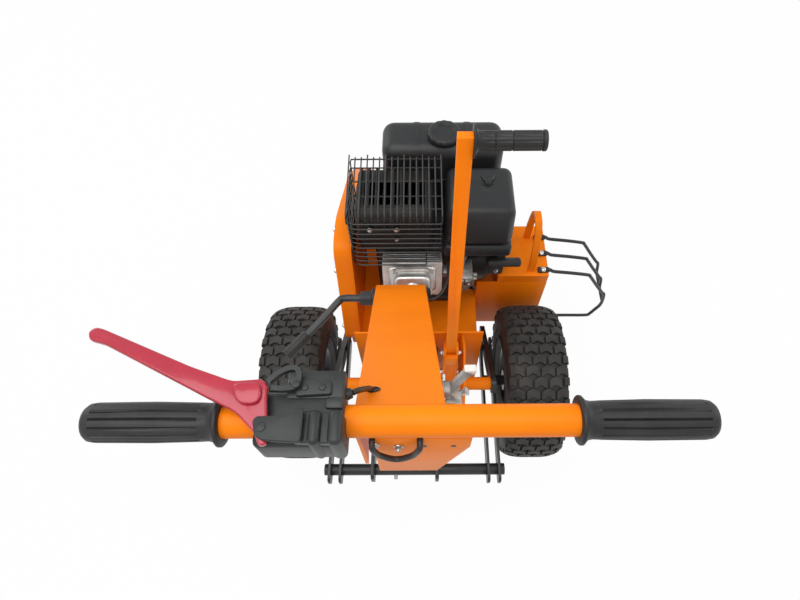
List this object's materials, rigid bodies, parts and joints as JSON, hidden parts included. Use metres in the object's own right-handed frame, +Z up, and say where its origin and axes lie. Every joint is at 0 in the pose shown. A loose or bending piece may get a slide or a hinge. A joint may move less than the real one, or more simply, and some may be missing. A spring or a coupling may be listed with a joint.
{
  "type": "walk-behind trencher",
  "caption": "Walk-behind trencher: a T-bar on a sloping column, an engine over turf wheels, a belt guard on the left and a chain boom in front.",
  "frame": {"origin": "middle of the footprint, on the ground", "axes": "+Z up, +Y forward along the boom, +X to the operator's right"},
  "size_m": [0.8672, 1.3971, 1.0305],
  "materials": {
    "orange_paint": "gloss",
    "black_paint": "satin",
    "red_paint": "gloss",
    "black_rubber": "matte",
    "tyre_rubber": "matte",
    "black_plastic": "satin",
    "cast_metal": "matte",
    "cast_aluminium": "satin",
    "bright_steel": "satin"
  },
  "bodies": {
    "root": {"air_cleaner_base": "black_plastic", "air_cleaner_cover": "black_plastic", "belt_guard": "orange_paint", "belt_guard_back": "orange_paint", "boom": "orange_paint", "carburettor": "cast_aluminium", "chassis_box": "orange_paint", "clutch_bracket": "cast_aluminium", "clutch_cable": "black_rubber", "column": "orange_paint", "crankcase": "cast_aluminium", "cylinder": "cast_aluminium", "digging_chain": "cast_metal", "drive_belt": "black_rubber", "fuel_tank": "black_plastic", "guard_hoop_1": "black_paint", "guard_hoop_2": "black_paint", "guard_hoop_3": "black_paint", "handlebar": "orange_paint", "left_bearing": "cast_metal", "left_frame_rail": "orange_paint", "left_grip": "black_rubber", "lever_quadrant": "orange_paint", "lift_hoop": "orange_paint", "muffler": "black_paint", "muffler_cage": "black_paint", "rear_panel": "orange_paint", "recoil_housing": "black_plastic", "right_bearing": "cast_metal", "right_frame_rail": "orange_paint", "right_grip": "black_rubber", "right_housing": "orange_paint", "rod_socket": "black_paint", "spark_plug": "black_plastic", "throttle_cable": "black_rubber", "valve_cover": "cast_aluminium"},
    "wheel_arms": {"left_wheel_arm": "black_paint", "right_wheel_arm": "black_paint", "rear_tube": "black_paint"},
    "left_wheel": {"left_tyre": "tyre_rubber", "left_rim": "black_paint"},
    "right_wheel": {"right_tyre": "tyre_rubber", "right_rim": "black_paint"},
    "depth_lever": {"depth_lever": "orange_paint", "lever_grip": "black_rubber", "rockshaft": "orange_paint"},
    "clutch_lever": {"clutch_lever": "red_paint"},
    "lock_trigger": {"lock_trigger": "black_plastic"},
    "throttle_lever": {"throttle_lever": "bright_steel"},
    "hand_rod": {"hand_rod": "black_paint", "rod_grip": "black_rubber"},
    "recoil_grip": {"recoil_grip": "black_plastic"},
    "fuel_cap": {"fuel_cap": "black_plastic"},
    "wing_nut": {"air_cleaner_wing_nut": "black_plastic"},
    "choke_lever": {"choke_lever": "black_plastic"},
    "head_shaft": {"head_shaft": "cast_metal", "driven_pulley": "cast_metal", "head_sprocket": "cast_metal"},
    "engine_pulley": {"engine_pulley": "cast_metal"},
    "nose_wheel": {"nose_wheel": "cast_metal"}
  },
  "joints": [
    {"name": "wheel_arm_hinge", "type": "hinge", "parent": "root", "child": "wheel_arms", "pos_m": [-0.0816, -0.53075, 0.2], "axis": [1, 0, 0], "range_deg": [-16, 0]},
    {"name": "left_wheel_spin", "type": "hinge", "parent": "wheel_arms", "child": "left_wheel", "pos_m": [-0.3636, -0.30575, 0.19], "axis": [1, 0, 0], "continuous": true},
    {"name": "right_wheel_spin", "type": "hinge", "parent": "wheel_arms", "child": "right_wheel", "pos_m": [0.2004, -0.30575, 0.19], "axis": [1, 0, 0], "continuous": true},
    {"name": "depth_lever_swing", "type": "hinge", "parent": "root", "child": "depth_lever", "pos_m": [-0.0816, -0.35775, 0.3], "axis": [1, 0, 0], "range_deg": [-20, 0]},
    {"name": "clutch_lever_squeeze", "type": "hinge", "parent": "root", "child": "clutch_lever", "pos_m": [-0.2056, -0.67775, 1.0165], "axis": [0, 0, 1], "range_deg": [0, 20], "stiffness_Nm_per_rad": 8},
    {"name": "lock_trigger_turn", "type": "hinge", "parent": "root", "child": "lock_trigger", "pos_m": [-0.1756, -0.64175, 1.0165], "axis": [0, 0, 1], "range_deg": [-20, 0], "stiffness_Nm_per_rad": 0.5},
    {"name": "throttle_turn", "type": "hinge", "parent": "root", "child": "throttle_lever", "pos_m": [-0.03785, -0.60375, 0.905], "axis": [1, 0, 0], "range_deg": [-30, 30]},
    {"name": "hand_rod_turn", "type": "hinge", "parent": "root", "child": "hand_rod", "pos_m": [-0.14646, -0.32175, 0.636], "axis": [1, 0, 0], "range_deg": [-45, 0]},
    {"name": "recoil_pull", "type": "slide", "parent": "root", "child": "recoil_grip", "axis": [0, -0.8988, 0.4384], "range_m": [0, 0.3], "stiffness_N_per_m": 60},
    {"name": "fuel_cap_turn", "type": "hinge", "parent": "root", "child": "fuel_cap", "pos_m": [-0.0136, 0.04425, 0.68], "axis": [0, 0, 1], "range_deg": [0, 90]},
    {"name": "wing_nut_turn", "type": "hinge", "parent": "root", "child": "wing_nut", "pos_m": [0.0744, -0.06275, 0.655], "axis": [0, 0, 1], "continuous": true},
    {"name": "choke_turn", "type": "hinge", "parent": "root", "child": "choke_lever", "pos_m": [0.0309, -0.14575, 0.462], "axis": [1, 0, 0], "range_deg": [-40, 0]},
    {"name": "head_shaft_spin", "type": "hinge", "parent": "root", "child": "head_shaft", "pos_m": [-0.0816, 0.21425, 0.205], "axis": [1, 0, 0], "continuous": true},
    {"name": "crank_spin", "type": "hinge", "parent": "root", "child": "engine_pulley", "pos_m": [-0.2346, -0.00575, 0.393], "axis": [1, 0, 0], "continuous": true},
    {"name": "nose_wheel_spin", "type": "hinge", "parent": "root", "child": "nose_wheel", "pos_m": [-0.0016, 0.62425, 0.0815], "axis": [1, 0, 0], "continuous": true}
  ],
  "couplings": [
    {"joint": "depth_lever_swing", "follows": "wheel_arm_hinge", "ratio": 1.25},
    {"joint": "crank_spin", "follows": "head_shaft_spin", "ratio": 1.7778},
    {"joint": "nose_wheel_spin", "follows": "head_shaft_spin", "ratio": 1.1364}
  ]
}
